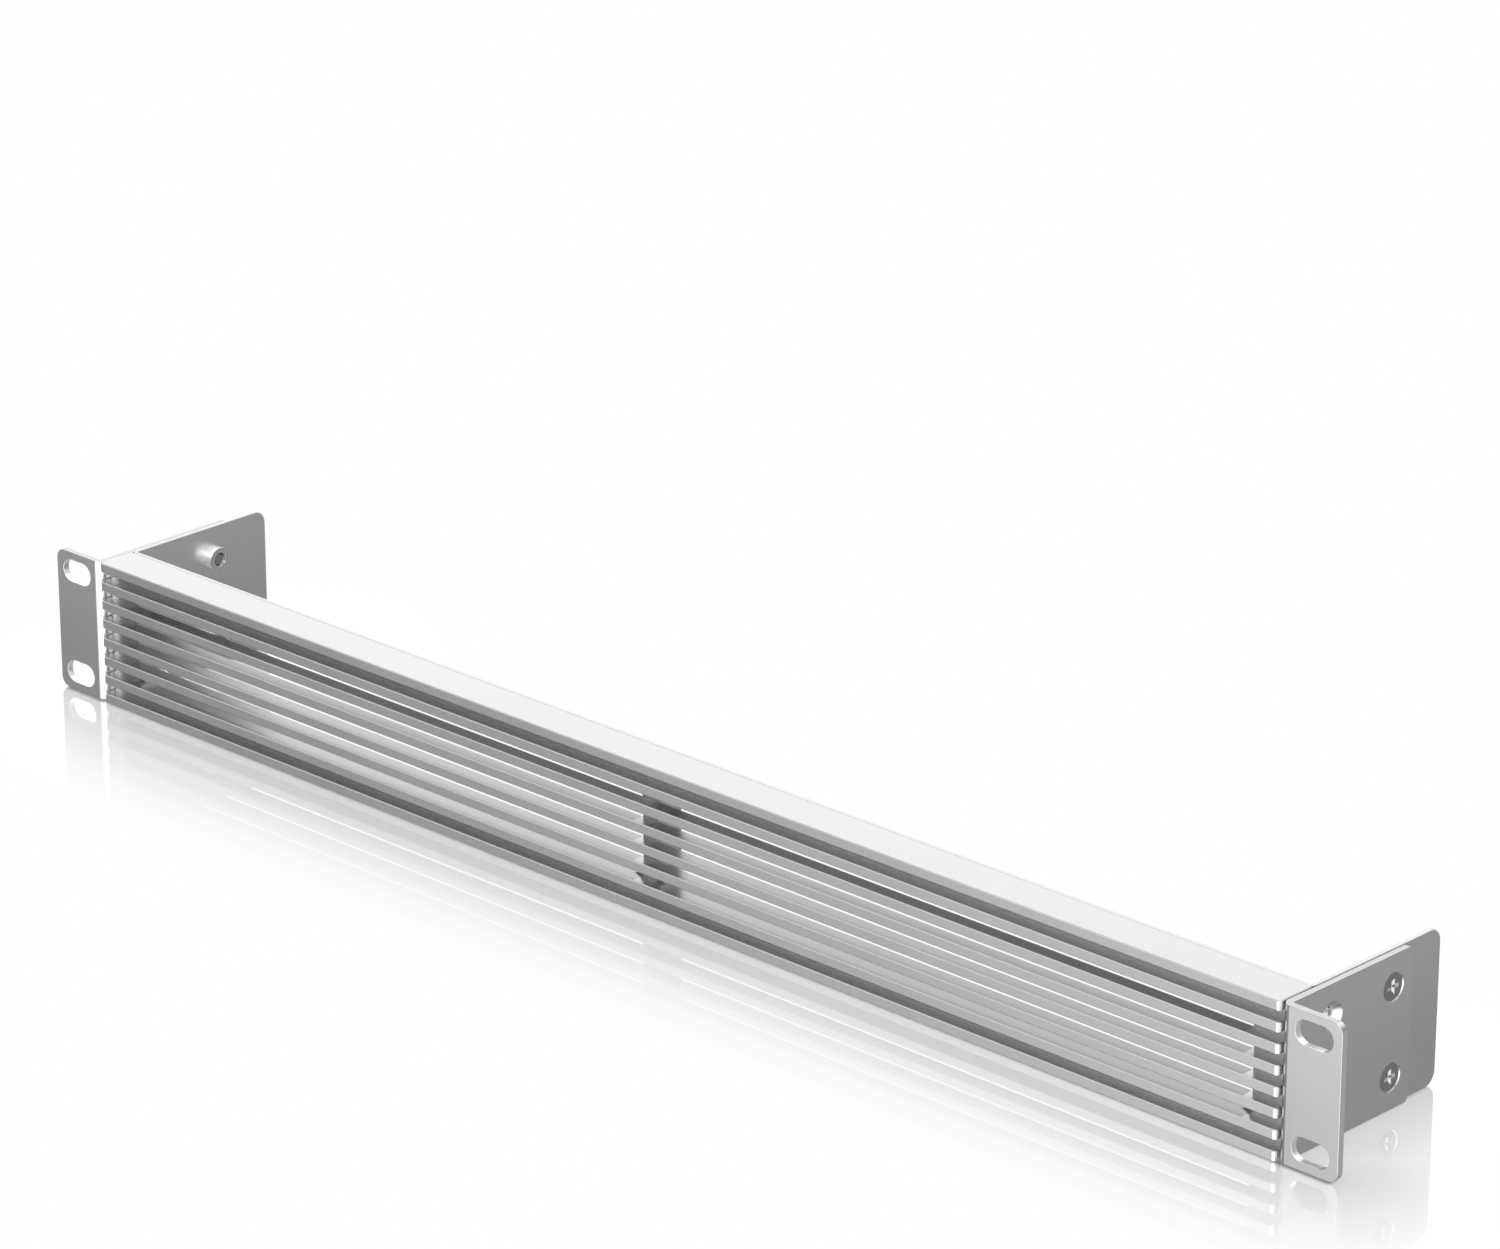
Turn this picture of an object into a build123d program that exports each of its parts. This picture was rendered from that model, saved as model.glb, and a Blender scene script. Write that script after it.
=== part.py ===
"""Vented blanking panel, one rack unit high, with a slatted front grille.

A machined bar of slats stands in front of a U-shaped sheet frame. An angle
bracket on each side turns the frame into a 19-inch rack panel.

Millimetres. +X is to the right of someone who faces the panel, +Y runs back
into the rack and +Z is up. The origin is the middle of the four rack slots,
on the back of the ears, where the panel seats on the rack posts.
"""

from build123d import *
import os

# Rack fixing
rack_width = 482.6
ear_width = 19.3
slot_end_distance = 8.75
slot_pitch_z = 31.75
slot_length = 12.0
slot_width = 6.8

# Slatted grille
slat_count = 8
slat_height = 2.92
groove_height = 2.92
groove_depth = 4.3
blind_grooves = 1
grille_depth = 12.6
grille_proud = 0.4
grille_corner_radius = 1.0
slat_edge_break = 0.25
end_block_width = 11.1
rib_width = 5.2
window_corner_radius = 4.0

# U-shaped frame
wing_overhang = 13.7
frame_sheet = 1.2
frame_bend_inside = 0.6
wing_corner_radius = 4.0
grille_side_gap = 0.2

# Angle brackets
bracket_sheet = 2.0
bracket_bend_inside = 0.5
bracket_top_step = 0.3
flange_rear_margin = 7.45
ear_corner_radius = 3.0
flange_corner_radius = 1.5
slot_edge_break = 0.3

# Countersunk screws and captive nuts of the brackets
bracket_hole_pitch_y = 24.5
bracket_hole_pitch_z = 25.0
countersink_diameter = 8.2
bracket_hole_diameter = 4.3
bracket_screw_head = 7.6
bracket_screw_diameter = 3.9
bracket_screw_length = 6.0
recess_span = 4.2
recess_blade = 1.0
recess_depth = 1.3
nut_diameter = 7.4
nut_stand = 3.5
nut_shank_diameter = 5.4
nut_bore_diameter = 4.0
nut_entry_break = 0.3

# Pan-head screws that hold the grille to the frame
grille_screw_inset = 15.8
grille_screw_columns = 3
grille_screw_diameter = 2.9
grille_screw_length = 7.0
grille_screw_head = 5.5
grille_screw_head_height = 2.0
grille_screw_crown = 0.7
grille_hole_diameter = 3.0
web_hole_diameter = 3.4
pan_recess_span = 3.0
pan_recess_blade = 0.8
pan_recess_depth = 1.2

# Clearances
nut_bend_room = 0.05
thread_end_room = 0.8
shank_clearance = 0.1
head_seat_clearance = 0.05

# Sizes that follow from the ones above
frame_width = rack_width - 2 * ear_width
slot_pitch_x = rack_width - 2 * slot_end_distance

slat_pitch = slat_height + groove_height
panel_height = slat_count * slat_height + (slat_count - 1) * groove_height
grille_width = frame_width - 2 * grille_side_gap
grille_front = -bracket_sheet - grille_proud
grille_back = grille_front + grille_depth
groove_floor = grille_front + groove_depth
beam_height = (blind_grooves + 1) * slat_height + blind_grooves * groove_height
window_height = panel_height - 2 * beam_height
window_width = grille_width / 2 - end_block_width - rib_width / 2
window_offset = (window_width + rib_width) / 2

web_back = grille_back + frame_sheet
front_hole_y = web_back + frame_bend_inside + nut_bend_room + nut_diameter / 2
rear_hole_y = front_hole_y + bracket_hole_pitch_y
bracket_hole_y = (front_hole_y + rear_hole_y) / 2
flange_back = rear_hole_y + flange_rear_margin
flange_outside = frame_width / 2 + bracket_sheet
bracket_height = panel_height - 2 * bracket_top_step
wing_back = flange_back + wing_overhang
wing_inside = frame_width / 2 - frame_sheet

nut_seat_diameter = nut_shank_diameter + shank_clearance
bracket_screw_sink = (countersink_diameter - bracket_screw_head) / 2 - head_seat_clearance
grille_hole_depth = grille_screw_length - frame_sheet + thread_end_room
grille_screw_spread = grille_width - 2 * grille_screw_inset
grille_screw_pitch_x = grille_screw_spread / (grille_screw_columns - 1)
grille_screw_pitch_z = panel_height - beam_height

sides = {"left": -1, "right": 1}
levels = {"lower": -1, "upper": 1}


def save(piece, name):
    """Label a finished piece and write it as its own file."""
    piece.part.label = name
    export_step(piece.part, f"parts/{name}.step")


def cross_recess(span, blade, depth):
    """Return the tapered cross that a driver leaves in a screw head, its mouth at the origin."""
    taper_inset = depth / 4
    with BuildPart() as recess:
        with BuildSketch(Plane.XY):
            Rectangle(span, blade)
            Rectangle(blade, span)
        with BuildSketch(Plane.XY.offset(-depth)):
            Rectangle(span - 2 * taper_inset, blade / 2)
            Rectangle(blade / 2, span - 2 * taper_inset)
        loft()
    return recess.part


def bar_outline():
    """Return the outline of the grille's bar, seen from above, with its front corners rounded."""
    with BuildSketch(Plane.XY) as outline:
        with Locations((0, grille_front)):
            Rectangle(grille_width, grille_depth, align=(Align.CENTER, Align.MIN))
        fillet(outline.vertices().group_by(Axis.Y)[0], grille_corner_radius)
    return outline.sketch


def window_pair():
    """Return the outlines of the two windows, on the back of the grille."""
    with BuildSketch(Plane.XZ.offset(-grille_back)) as windows:
        with GridLocations(2 * window_offset, 0, 2, 1):
            RectangleRounded(window_width, window_height, window_corner_radius)
    return windows.sketch


def grille_screw_holes(diameter):
    """Return the circles of the grille's screw holes, on the back of the grille."""
    with BuildSketch(Plane.XZ.offset(-grille_back)) as holes:
        with GridLocations(grille_screw_pitch_x, grille_screw_pitch_z, grille_screw_columns, 2):
            Circle(diameter / 2)
    return holes.sketch


os.makedirs("parts", exist_ok=True)

# One slat: the full outline of the bar, with its edges broken all round
with BuildPart() as slat:
    extrude(bar_outline(), amount=slat_height / 2, both=True)
    chamfer(slat.faces().filter_by(Axis.Z).edges(), slat_edge_break)

# Front grille: slats on a solid back, opened from behind between its two beams
with BuildPart() as front_grille:
    with BuildSketch(Plane.XY):
        with Locations((0, groove_floor)):
            Rectangle(grille_width, grille_back - groove_floor, align=(Align.CENTER, Align.MIN))
    extrude(amount=panel_height / 2 - slat_edge_break, both=True)
    slat_levels = [
        (0, 0, (level - (slat_count - 1) / 2) * slat_pitch) for level in range(slat_count)
    ]
    with Locations(*slat_levels):
        add(slat.part)
    extrude(window_pair(), amount=grille_depth - groove_depth, mode=Mode.SUBTRACT)
    extrude(grille_screw_holes(grille_hole_diameter), amount=grille_hole_depth, mode=Mode.SUBTRACT)
save(front_grille, "front_grille")

# Rear frame: one bent sheet, a web with two windows between two wings
with BuildPart() as rear_frame:
    with BuildSketch(Plane.XY):
        with BuildLine():
            outer = FilletPolyline(
                (-frame_width / 2, wing_back),
                (-frame_width / 2, grille_back),
                (frame_width / 2, grille_back),
                (frame_width / 2, wing_back),
                radius=frame_bend_inside + frame_sheet,
            )
            offset(outer, amount=frame_sheet, side=Side.LEFT)
        make_face()
    extrude(amount=panel_height / 2, both=True)
    fillet(rear_frame.edges().filter_by(Axis.X).group_by(Axis.Y)[-1], wing_corner_radius)
    extrude(window_pair(), amount=-frame_sheet, mode=Mode.SUBTRACT)
    extrude(grille_screw_holes(web_hole_diameter), amount=-frame_sheet, mode=Mode.SUBTRACT)
    with BuildSketch(Plane.YZ):
        with Locations((bracket_hole_y, 0)):
            with GridLocations(bracket_hole_pitch_y, bracket_hole_pitch_z, 2, 2):
                Circle(nut_seat_diameter / 2)
    extrude(amount=frame_width / 2, both=True, mode=Mode.SUBTRACT)
save(rear_frame, "rear_frame")

# Right bracket: an angle with two slots in its ear and four holes in its flange
with BuildPart() as right_bracket:
    with BuildSketch(Plane.XY):
        with BuildLine():
            outer = FilletPolyline(
                (rack_width / 2, -bracket_sheet),
                (frame_width / 2, -bracket_sheet),
                (frame_width / 2, flange_back),
                radius=bracket_bend_inside + bracket_sheet,
            )
            offset(outer, amount=bracket_sheet, side=Side.RIGHT)
        make_face()
    extrude(amount=bracket_height / 2, both=True)
    ear_corners = right_bracket.edges().filter_by(Axis.Y).group_by(Axis.X)[-1]
    fillet(ear_corners, ear_corner_radius)
    flange_corners = right_bracket.edges().filter_by(Axis.X).group_by(Axis.Y)[-1]
    fillet(flange_corners, flange_corner_radius)
    with BuildSketch(Plane.XZ):
        with Locations((slot_pitch_x / 2, 0)):
            with GridLocations(0, slot_pitch_z, 1, 2):
                SlotOverall(slot_length, slot_width)
    extrude(amount=bracket_sheet, mode=Mode.SUBTRACT)
    ear_front = right_bracket.faces().filter_by(Axis.Y).sort_by(Axis.Y)[0]
    chamfer(ear_front.inner_wires().edges(), slot_edge_break)
    flange_face = Plane(origin=(flange_outside, bracket_hole_y, 0), x_dir=(0, 1, 0), z_dir=(1, 0, 0))
    with Locations(flange_face):
        with GridLocations(bracket_hole_pitch_y, bracket_hole_pitch_z, 2, 2):
            CounterSinkHole(bracket_hole_diameter / 2, countersink_diameter / 2, bracket_sheet, 90)
save(right_bracket, "right_bracket")

# Left bracket: the mirror image of the right one
with BuildPart() as left_bracket:
    mirror(right_bracket.part, about=Plane.YZ)
save(left_bracket, "left_bracket")

# Countersunk screw, standing along +Z with its face at the origin
with BuildPart() as countersunk_screw:
    head_height = (bracket_screw_head - bracket_screw_diameter) / 2
    with BuildSketch(Plane.XZ):
        with BuildLine():
            Polyline(
                (0, 0),
                (bracket_screw_head / 2, 0),
                (bracket_screw_diameter / 2, -head_height),
                (bracket_screw_diameter / 2, -bracket_screw_length),
                (0, -bracket_screw_length),
                close=True,
            )
        make_face()
    revolve(axis=Axis.Z)
    add(cross_recess(recess_span, recess_blade, recess_depth), mode=Mode.SUBTRACT)

# Captive nut, standing along +Z on a sheet whose face is at the origin
with BuildPart() as captive_nut:
    with BuildSketch(Plane.XY):
        Circle(nut_diameter / 2)
    extrude(amount=nut_stand)
    with BuildSketch(Plane.XY):
        Circle(nut_shank_diameter / 2)
    extrude(amount=-frame_sheet)
    Hole(nut_bore_diameter / 2)
    shank_end = captive_nut.faces().sort_by(Axis.Z)[0]
    chamfer(shank_end.inner_wires().edges(), nut_entry_break)

# Each bracket is held at its rear holes, and all four holes have a nut
for side_name, side in sides.items():
    for level_name, level in levels.items():
        height = level * bracket_hole_pitch_z / 2
        head_face = (side * (flange_outside - bracket_screw_sink), rear_hole_y, height)
        with BuildPart() as bracket_screw:
            with Locations(Plane(origin=head_face, z_dir=(side, 0, 0))):
                add(countersunk_screw.part)
        save(bracket_screw, f"{side_name}_bracket_screw_{level_name}")

        for row_name, row_y in (("front", front_hole_y), ("rear", rear_hole_y)):
            nut_seat = (side * wing_inside, row_y, height)
            with BuildPart() as bracket_nut:
                with Locations(Plane(origin=nut_seat, z_dir=(-side, 0, 0))):
                    add(captive_nut.part)
            save(bracket_nut, f"{side_name}_captive_nut_{row_name}_{level_name}")

# Pan-head screw, standing along +Z with the underside of its head at the origin
with BuildPart() as pan_screw:
    with BuildSketch(Plane.XY):
        Circle(grille_screw_head / 2)
    extrude(amount=grille_screw_head_height)
    chamfer(pan_screw.faces().sort_by(Axis.Z)[-1].edges(), grille_screw_crown)
    with BuildSketch(Plane.XY):
        Circle(grille_screw_diameter / 2)
    extrude(amount=-grille_screw_length)
    with Locations((0, 0, grille_screw_head_height)):
        add(cross_recess(pan_recess_span, pan_recess_blade, pan_recess_depth), mode=Mode.SUBTRACT)

# The grille screws enter from behind, through the web into the beams
for column in range(grille_screw_columns):
    for level_name, level in levels.items():
        across = column * grille_screw_pitch_x - grille_screw_spread / 2
        head_seat = (across, web_back, level * grille_screw_pitch_z / 2)
        with BuildPart() as grille_screw:
            with Locations(Plane(origin=head_seat, z_dir=(0, 1, 0))):
                add(pan_screw.part)
        save(grille_screw, f"grille_screw_{column + 1}_{level_name}")
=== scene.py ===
"""Looks of a vented blanking panel, one rack unit high, with a slatted front grille.

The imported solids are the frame. The grille keeps its solid and gets its finish here.
The sheet frame and the brackets are carried over as skins with eased edges, and the
screws and the captive nuts are modelled finer. Those stand in for their solids.
Metres, +X right, +Y back, +Z up.
"""

import logging
import math
from dataclasses import dataclass, field
from enum import Enum
from typing import Any, Iterator, Mapping, Sequence

import bpy
from mathutils import Matrix, Vector


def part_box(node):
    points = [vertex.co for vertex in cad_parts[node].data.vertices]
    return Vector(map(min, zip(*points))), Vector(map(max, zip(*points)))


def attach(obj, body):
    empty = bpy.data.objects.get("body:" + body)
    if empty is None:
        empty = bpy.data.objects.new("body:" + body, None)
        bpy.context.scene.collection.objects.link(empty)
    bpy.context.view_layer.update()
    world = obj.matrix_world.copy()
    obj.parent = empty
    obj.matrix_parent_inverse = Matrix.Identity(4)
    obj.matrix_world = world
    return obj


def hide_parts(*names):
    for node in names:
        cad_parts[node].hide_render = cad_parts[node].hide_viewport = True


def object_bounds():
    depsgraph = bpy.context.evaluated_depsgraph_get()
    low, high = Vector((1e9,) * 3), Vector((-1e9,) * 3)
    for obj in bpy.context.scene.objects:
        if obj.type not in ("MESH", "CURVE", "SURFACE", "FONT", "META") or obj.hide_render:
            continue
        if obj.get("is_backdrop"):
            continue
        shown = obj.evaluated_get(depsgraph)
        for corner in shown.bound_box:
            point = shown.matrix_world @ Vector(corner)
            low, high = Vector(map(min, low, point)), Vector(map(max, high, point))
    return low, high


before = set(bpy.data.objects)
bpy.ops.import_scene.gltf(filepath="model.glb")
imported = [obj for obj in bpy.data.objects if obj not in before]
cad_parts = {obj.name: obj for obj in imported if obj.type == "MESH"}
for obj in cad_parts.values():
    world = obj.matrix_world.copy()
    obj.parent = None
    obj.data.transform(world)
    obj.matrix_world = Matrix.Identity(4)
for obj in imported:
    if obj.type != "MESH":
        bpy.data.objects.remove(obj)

LOG = logging.getLogger("panel")
MM = 0.001
BODY = "root"
LATHE_COORDINATES = "lathe_coordinates"

Colour = tuple[float, float, float]
Point = tuple[float, float, float]
Span = tuple[float, float]
Profile = Sequence[Span]
Box = tuple[Vector, Vector]
Place = tuple[str, Vector, Vector]

ACROSS: Point = (1.0, 0.0, 0.0)
ALONG: Point = (0.0, 1.0, 0.0)
UP: Point = (0.0, 0.0, 1.0)
WHITE: Colour = (1.0, 1.0, 1.0)


class Side(Enum):
    """The two ends of the panel, by the sign of their place on X."""

    LEFT = -1
    RIGHT = 1


class Level(Enum):
    """The two rows of fasteners, by the sign of their place on Z."""

    LOWER = -1
    UPPER = 1


class Row(Enum):
    """The two columns of captive nuts on each wing."""

    FRONT = "front"
    REAR = "rear"


# ---------------------------------------------------------------- shader maths


class Signal:
    """A node's output that takes part in Python expressions."""

    def __init__(self, desk: "NodeDesk", socket: bpy.types.NodeSocket) -> None:
        """Wrap one output socket.

        Args:
            desk: The node tree's desk that adds new nodes.
            socket: The output that the expression starts from.
        """
        self.desk = desk
        self.socket = socket

    def _math(self, operation: str, first: Any, second: Any) -> "Signal":
        """Add one Math node.

        Args:
            operation: The Math node's operation.
            first: A signal or a number.
            second: A signal or a number.

        Returns:
            The node's value.
        """
        return self.desk.node("ShaderNodeMath", {"operation": operation}, {0: first, 1: second})

    def __add__(self, other: Any) -> "Signal":
        """Return self + other."""
        return self._math("ADD", self, other)

    __radd__ = __add__

    def __sub__(self, other: Any) -> "Signal":
        """Return self - other."""
        return self._math("SUBTRACT", self, other)

    def __rsub__(self, other: Any) -> "Signal":
        """Return other - self."""
        return self._math("SUBTRACT", other, self)

    def __mul__(self, other: Any) -> "Signal":
        """Return self * other."""
        return self._math("MULTIPLY", self, other)

    __rmul__ = __mul__

    def __pow__(self, other: Any) -> "Signal":
        """Return self to the power of other."""
        return self._math("POWER", self, other)

    def __abs__(self) -> "Signal":
        """Return the value without its sign."""
        return self._math("ABSOLUTE", self, 0.0)

    def least(self, other: Any) -> "Signal":
        """Return the smaller of the two."""
        return self._math("MINIMUM", self, other)

    def most(self, other: Any) -> "Signal":
        """Return the larger of the two."""
        return self._math("MAXIMUM", self, other)

    def sine(self) -> "Signal":
        """Return the sine."""
        return self._math("SINE", self, 0.0)

    def zigzag(self, length: float) -> "Signal":
        """Return the value folded back and forth between 0 and a length."""
        return self._math("PINGPONG", self, length)

    def ease(self, start: float, end: float) -> "Signal":
        """Return 0 before start, 1 after end and a smooth step between them.

        Args:
            start: Where the step leaves 0.
            end: Where the step reaches 1.

        Returns:
            The smooth step.
        """
        return self.desk.node(
            "ShaderNodeMapRange",
            {"interpolation_type": "SMOOTHSTEP"},
            {"Value": self, "From Min": start, "From Max": end, "To Min": 0.0, "To Max": 1.0},
        )

    def within(self, low: float, high: float, edge: float) -> "Signal":
        """Return 1 from low to high and 0 outside them.

        Args:
            low: The lower limit.
            high: The upper limit.
            edge: How far outside the limits it reaches 0.

        Returns:
            The soft-edged mask.
        """
        return self.ease(low - edge, low) * self.ease(high + edge, high)


class NodeDesk:
    """Adds nodes to one tree, from the left to the right."""

    SPACING = 180.0

    def __init__(self, tree: bpy.types.NodeTree) -> None:
        """Clear a tree and start on it.

        Args:
            tree: The node tree of a material or of the world.
        """
        self.tree = tree
        self.tree.nodes.clear()
        self.count = 0

    def node(
        self,
        kind: str,
        settings: Mapping[str, Any] | None = None,
        inputs: Mapping[Any, Any] | None = None,
        output: Any = 0,
    ) -> Signal:
        """Add one node, set it up, then fill its sockets.

        Args:
            kind: The node's type.
            settings: Its properties, which are set first.
            inputs: A number, colour, vector or signal for each socket name or place.
            output: The name or place of the output that is wanted.

        Returns:
            That output.
        """
        made = self.tree.nodes.new(kind)
        made.location = (self.SPACING * self.count, 0.0)
        self.count += 1
        for name, value in (settings or {}).items():
            setattr(made, name, value)
        for name, value in (inputs or {}).items():
            socket = made.inputs[name]
            if isinstance(value, Signal):
                self.tree.links.new(value.socket, socket)
            elif isinstance(value, tuple) and socket.type == "RGBA" and len(value) == 3:
                socket.default_value = (*value, 1.0)
            else:
                socket.default_value = value
        return Signal(self, made.outputs[output] if made.outputs else made.inputs[0])

    def place(self) -> Signal:
        """Return the object coordinates."""
        return self.node("ShaderNodeTexCoord", output="Object")

    def stored(self, name: str) -> Signal:
        """Return a vector that a mesh carries under a name."""
        return self.node("ShaderNodeAttribute", {"attribute_name": name}, output="Vector")

    def moved(self, vector: Signal, scale: Point) -> Signal:
        """Return a vector stretched along its axes.

        Args:
            vector: The coordinates.
            scale: The factor on each axis.

        Returns:
            The stretched coordinates.
        """
        return self.node("ShaderNodeMapping", None, {"Vector": vector, "Scale": scale})

    def axis(self, vector: Signal, direction: Point) -> Signal:
        """Return how far a vector goes along a direction.

        Args:
            vector: The coordinates.
            direction: The direction, of length one.

        Returns:
            The distance along it.
        """
        return self.node(
            "ShaderNodeVectorMath", {"operation": "DOT_PRODUCT"}, {0: vector, 1: direction}, "Value"
        )

    def length(self, vector: Signal) -> Signal:
        """Return the length of a vector."""
        return self.node("ShaderNodeVectorMath", {"operation": "LENGTH"}, {0: vector}, "Value")

    def noise(self, vector: Signal, size: float, detail: float = 2.0, rough: float = 0.5) -> Signal:
        """Return noise from 0 to 1.

        Args:
            vector: The coordinates.
            size: The size of one lump, in metres.
            detail: How many finer layers it has.
            rough: How strong the finer layers are.

        Returns:
            The noise.
        """
        return self.node(
            "ShaderNodeTexNoise",
            {"noise_dimensions": "3D"},
            {"Vector": vector, "Scale": 1.0 / size, "Detail": detail, "Roughness": rough},
        )

    def blend(self, amount: Signal, low: Any, high: Any) -> Signal:
        """Return a colour between two.

        Args:
            amount: 0 gives the first colour and 1 the second.
            low: The first colour, plain or a signal.
            high: The second colour, plain or a signal.

        Returns:
            The mixed colour.
        """
        return self.node(
            "ShaderNodeMix", {"data_type": "RGBA"}, {0: amount, 6: low, 7: high}, output=2
        )

    def scaled(self, vector: Signal, gain: Signal) -> Signal:
        """Return a colour or a vector times a number.

        Args:
            vector: The colour or the vector.
            gain: The number.

        Returns:
            The product.
        """
        return self.node(
            "ShaderNodeVectorMath", {"operation": "SCALE"}, {"Vector": vector, "Scale": gain}
        )

    def bump(self, height: Signal, distance: float, strength: float) -> Signal:
        """Return a normal that a height gives.

        Args:
            height: The height, from 0 to 1.
            distance: The full height, in metres.
            strength: How much of it shows.

        Returns:
            The bent normal.
        """
        return self.node(
            "ShaderNodeBump", None, {"Height": height, "Distance": distance, "Strength": strength}
        )


# ---------------------------------------------------------------- finishes


def shade(colour: Colour, gain: float) -> Colour:
    """Return a colour made lighter or darker.

    Args:
        colour: The colour.
        gain: 1 keeps it as it is.

    Returns:
        The new colour.
    """
    return tuple(min(1.0, part * gain) for part in colour)


@dataclass(frozen=True)
class Finish:
    """What all the finishes have: a name, a colour and a roughness."""

    name: str
    colour: Colour
    roughness: float
    metallic: float = 1.0

    def material(self) -> bpy.types.Material:
        """Return the finish as a new material."""
        made = bpy.data.materials.new(self.name)
        made.use_nodes = True
        desk = NodeDesk(made.node_tree)
        sockets = {
            "Base Color": self.colour,
            "Roughness": self.roughness,
            "Metallic": self.metallic,
            **self.surface(desk),
        }
        shader = desk.node("ShaderNodeBsdfPrincipled", None, sockets)
        desk.node("ShaderNodeOutputMaterial", None, {"Surface": shader})
        return made

    def surface(self, desk: NodeDesk) -> dict[str, Signal]:
        """Return what varies over the surface.

        Args:
            desk: The material's desk.

        Returns:
            A signal for each socket that varies.
        """
        raise NotImplementedError


@dataclass(frozen=True)
class BlastedAluminium(Finish):
    """Milled bar, bead blasted and clear anodised, with its long edges rubbed a little.

    The grooves are painted darker than the outside, as painted shade. The free slats
    across the windows get darker painted shade still, more towards the lower right,
    and the rubbed front edges are painted darker, which dims their bevel highlight.
    """

    pitch: float = 5.84 * MM
    slat: float = 2.92 * MM
    grain: float = 0.11 * MM
    grain_share: float = 0.75
    grain_height: float = 0.004 * MM
    grain_strength: float = 0.02
    cloud: float = 38.0 * MM
    cloud_contrast: float = 0.8
    cloud_tint: Span = (0.97, 1.03)
    cloud_gloss: float = 0.03
    draw_length: float = 60.0 * MM
    draw_width: float = 0.35 * MM
    front: float = -2.15 * MM
    window_low: float = -13.4 * MM
    window_high: float = 12.6 * MM
    window_start: float = 2.6 * MM
    window_end: float = 210.7 * MM
    half_height: float = 21.75 * MM
    half_width: float = 221.6 * MM
    mask_edge: float = 0.1 * MM
    groove_shade_colour: Colour = (0.600, 0.602, 0.606)
    groove_shade_gain: float = 0.905
    groove_roughness: float = -0.02
    slat_shade_gain: float = 0.75
    shade_drift: Span = (-110.0 * MM, 150.0 * MM)
    shade_drift_height: Span = (9.0 * MM, 0.0)
    shade_drift_gain: float = 0.79
    edge: float = 0.12 * MM
    edge_shade_gain: float = 0.80
    wear: float = 4.0 * MM
    wear_mean: float = 0.8
    wear_spread: float = 0.4
    wear_gloss: float = 0.03

    def surface(self, desk: NodeDesk) -> dict[str, Signal]:
        """Return the anodised colour, its gloss and the blasted grain."""
        place = desk.place()
        grain = desk.noise(place, self.grain, detail=3.0, rough=0.6)
        cloud = desk.noise(place, self.cloud) - 0.5
        stretch = (self.draw_width / self.draw_length, 1.0, 1.0)
        draw = desk.noise(desk.moved(place, stretch), self.draw_width)
        wear_and_shade = self.wear_and_shade(desk, place)
        grooves, slats = self.recess_shade_masks(desk, place)
        low, high = (shade(self.colour, tint) for tint in self.cloud_tint)
        outside = desk.blend(0.5 + self.cloud_contrast * cloud, low, high)
        # The rubbed front edges are painted darker: wear, and painted shade that dims their bevel
        # highlight.
        outside = desk.blend(wear_and_shade, outside, shade(self.colour, self.edge_shade_gain))
        # Painted shade: the grooves get a darker colour than the outside.
        inside = shade(self.groove_shade_colour, self.groove_shade_gain)
        # Painted shade: the free slats across the windows are darker still, and darker towards the
        # lower right.
        shade_drift = desk.axis(place, ACROSS).ease(*self.shade_drift)
        slat = desk.blend(
            shade_drift * desk.axis(place, UP).ease(*self.shade_drift_height),
            shade(inside, self.slat_shade_gain),
            shade(inside, self.slat_shade_gain * self.shade_drift_gain),
        )
        height = self.grain_share * grain + (1.0 - self.grain_share) * draw
        gloss = self.cloud_gloss * cloud - self.wear_gloss * wear_and_shade
        return {
            "Base Color": desk.blend(slats, desk.blend(grooves, outside, inside), slat),
            "Roughness": self.roughness + gloss + self.groove_roughness * grooves,
            "Normal": desk.bump(height, self.grain_height, self.grain_strength),
        }

    def wear_and_shade(self, desk: NodeDesk, place: Signal) -> Signal:
        """Return how much the slats' long front edges are rubbed, which also sets the painted shade
        on them.

        Args:
            desk: The material's desk.
            place: The object coordinates.

        Returns:
            The mask.
        """
        height = desk.axis(place, UP) + self.pitch / 2
        from_middle = height.zigzag(self.pitch / 2)
        rubbed = from_middle.ease(self.slat / 2 - 2 * self.edge, self.slat / 2 - self.edge)
        rubbed = rubbed * desk.axis(place, ALONG).ease(self.front + self.edge, self.front)
        patches = desk.noise(place, self.wear, detail=3.0) - 0.5
        return rubbed * (self.wear_mean + self.wear_spread * patches)

    def recess_shade_masks(self, desk: NodeDesk, place: Signal) -> tuple[Signal, Signal]:
        """Return masks of the faces that get painted shade.

        Args:
            desk: The material's desk.
            place: The object coordinates.

        Returns:
            One mask for all the grooves and one for the free slats across the windows.
        """
        edge = self.mask_edge
        height, width = desk.axis(place, UP), abs(desk.axis(place, ACROSS))
        behind = desk.axis(place, ALONG).ease(self.front - edge, self.front + edge)
        grooves = abs(height).ease(self.half_height, self.half_height - edge)
        grooves = behind * grooves * width.ease(self.half_width, self.half_width - edge)
        window = height.within(self.window_low, self.window_high, edge)
        window = window * width.within(self.window_start + edge, self.window_end - edge, edge)
        return grooves, behind * window


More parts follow.
